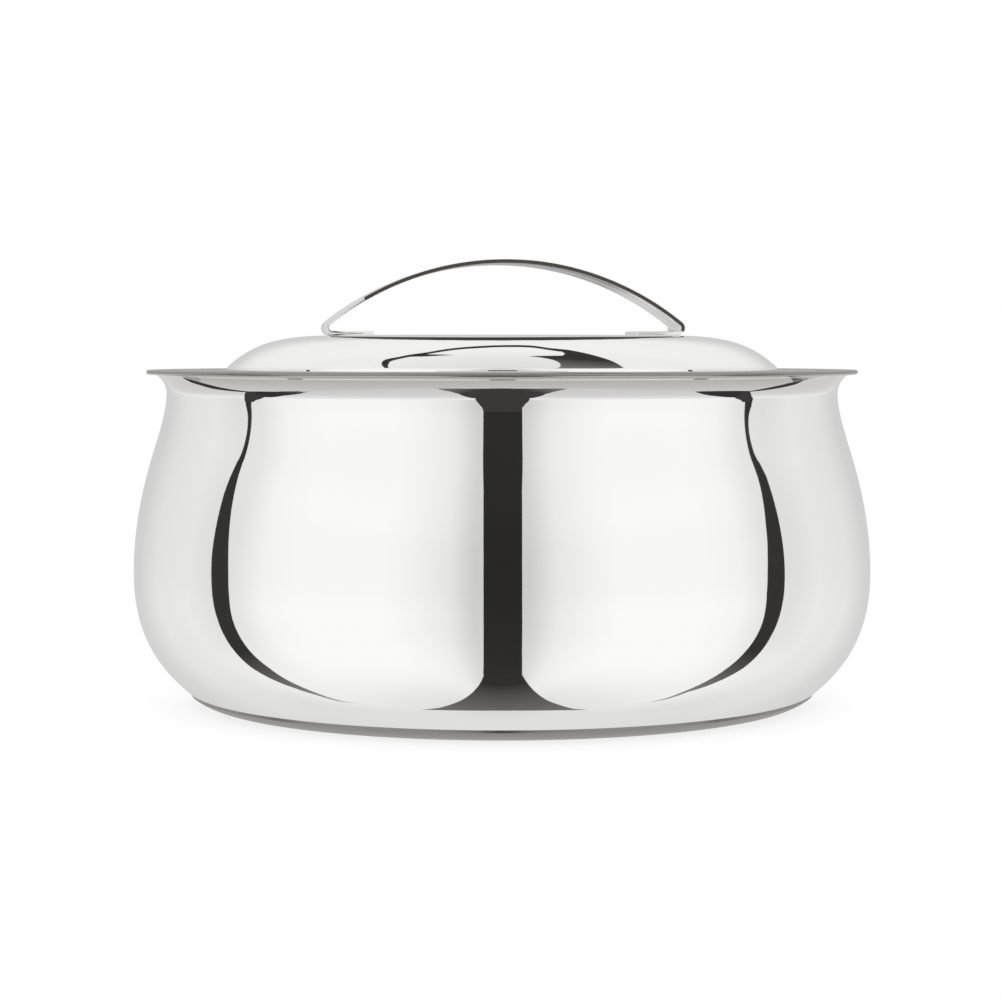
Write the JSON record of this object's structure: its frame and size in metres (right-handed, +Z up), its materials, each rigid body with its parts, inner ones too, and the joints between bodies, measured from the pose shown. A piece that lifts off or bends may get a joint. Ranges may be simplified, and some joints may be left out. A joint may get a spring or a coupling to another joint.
{
  "type": "insulated casserole",
  "caption": "Belly-shaped double-walled steel pot with foam insulation and a lift-off insulated lid with an arched strip handle; keeps flatbreads warm.",
  "frame": {"origin": "centre of the pot's base, on the plane that its foot ring stands on", "axes": "+Z up through the lid's handle; the handle runs along X; -Y is the side that faces the viewer"},
  "size_m": [0.25, 0.25, 0.1502],
  "materials": {
    "polished_steel": "polished",
    "satin_steel": "satin",
    "foam": "matte",
    "plug_plastic": "matte"
  },
  "bodies": {
    "pot": {"outer_shell": "polished_steel", "inner_bowl": "satin_steel", "pot_foam": "foam", "pot_fill_plug": "plug_plastic", "base_cover": "satin_steel"},
    "lid": {"lid_outer": "polished_steel", "lid_inner": "satin_steel", "lid_foam": "foam", "lid_fill_plug": "plug_plastic", "lid_handle": "polished_steel"}
  },
  "joints": [
    {"name": "lid_lift", "type": "slide", "parent": "pot", "child": "lid", "axis": [0, 0, 1], "range_m": [0, 0.12]}
  ]
}
